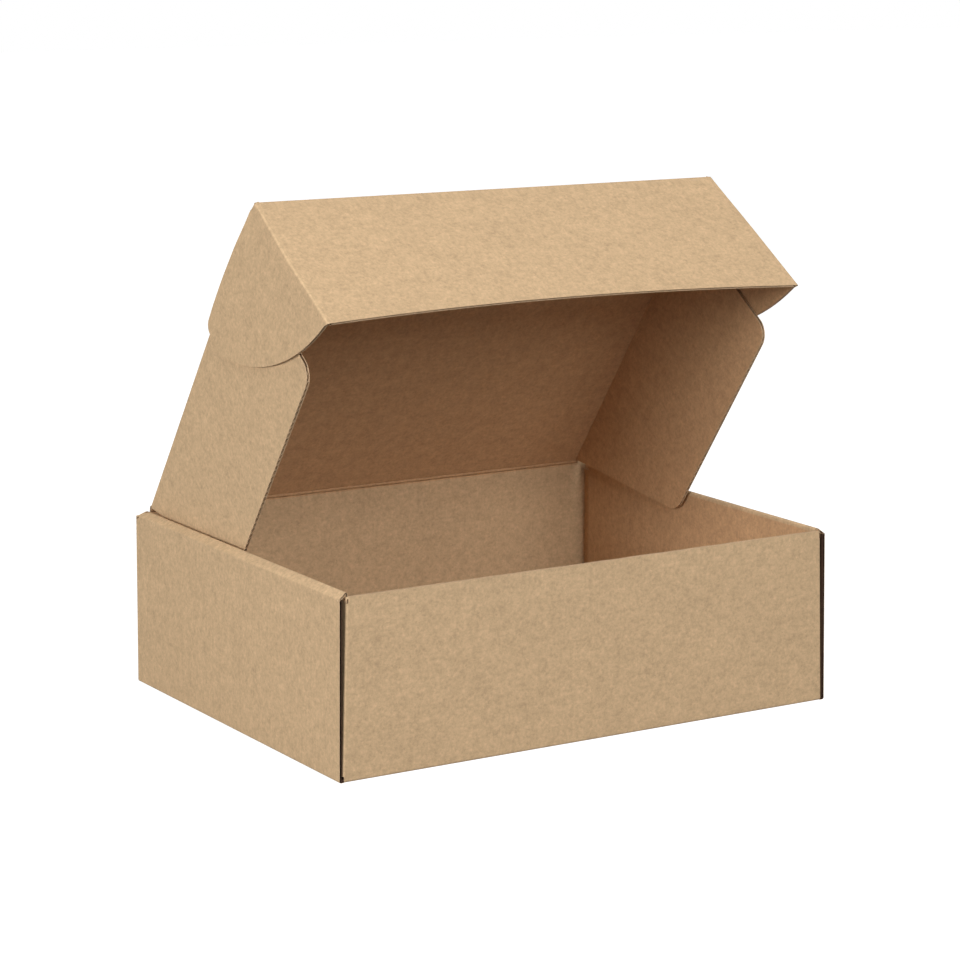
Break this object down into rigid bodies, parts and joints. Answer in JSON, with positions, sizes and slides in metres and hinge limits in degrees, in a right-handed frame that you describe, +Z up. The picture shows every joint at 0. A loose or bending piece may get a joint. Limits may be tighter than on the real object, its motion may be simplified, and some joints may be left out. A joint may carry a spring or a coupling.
{
  "type": "corrugated mailer box",
  "caption": "Shallow corrugated mailer box with rolled-over double side walls and a hinged lid with side wings, a front tuck flap and folded ears.",
  "frame": {"origin": "middle of the box's footprint, on the surface that it stands on", "axes": "+X along the box's long side, -Y out of the front wall, below the tuck flap, and +Z up"},
  "size_m": [0.25, 0.192, 0.2303],
  "materials": {
    "kraft_board": "matte"
  },
  "bodies": {
    "tray": {"tray": "kraft_board"},
    "lid": {"lid_panel": "kraft_board"},
    "tuck": {"tuck_flap": "kraft_board", "left_ear": "kraft_board", "right_ear": "kraft_board"},
    "left_wing": {"left_wing": "kraft_board"},
    "right_wing": {"right_wing": "kraft_board"}
  },
  "joints": [
    {"name": "lid_hinge", "type": "hinge", "parent": "tray", "child": "lid", "pos_m": [0, 0.09525, 0.0804], "axis": [-1, 0, 0], "range_deg": [-54, 66]},
    {"name": "tuck_hinge", "type": "hinge", "parent": "lid", "child": "tuck", "pos_m": [0, -0.0129, 0.22926], "axis": [1, 0, 0], "range_deg": [-26.5, 21.7]},
    {"name": "left_wing_hinge", "type": "hinge", "parent": "lid", "child": "left_wing", "pos_m": [-0.11565, 0.04162, 0.15268], "axis": [0, -0.5878, 0.809], "range_deg": [0, 80]},
    {"name": "right_wing_hinge", "type": "hinge", "parent": "lid", "child": "right_wing", "pos_m": [0.11565, 0.04162, 0.15268], "axis": [0, 0.5878, -0.809], "range_deg": [0, 80]}
  ],
  "couplings": [
    {"joint": "tuck_hinge", "follows": "lid_hinge", "ratio": -0.4}
  ]
}
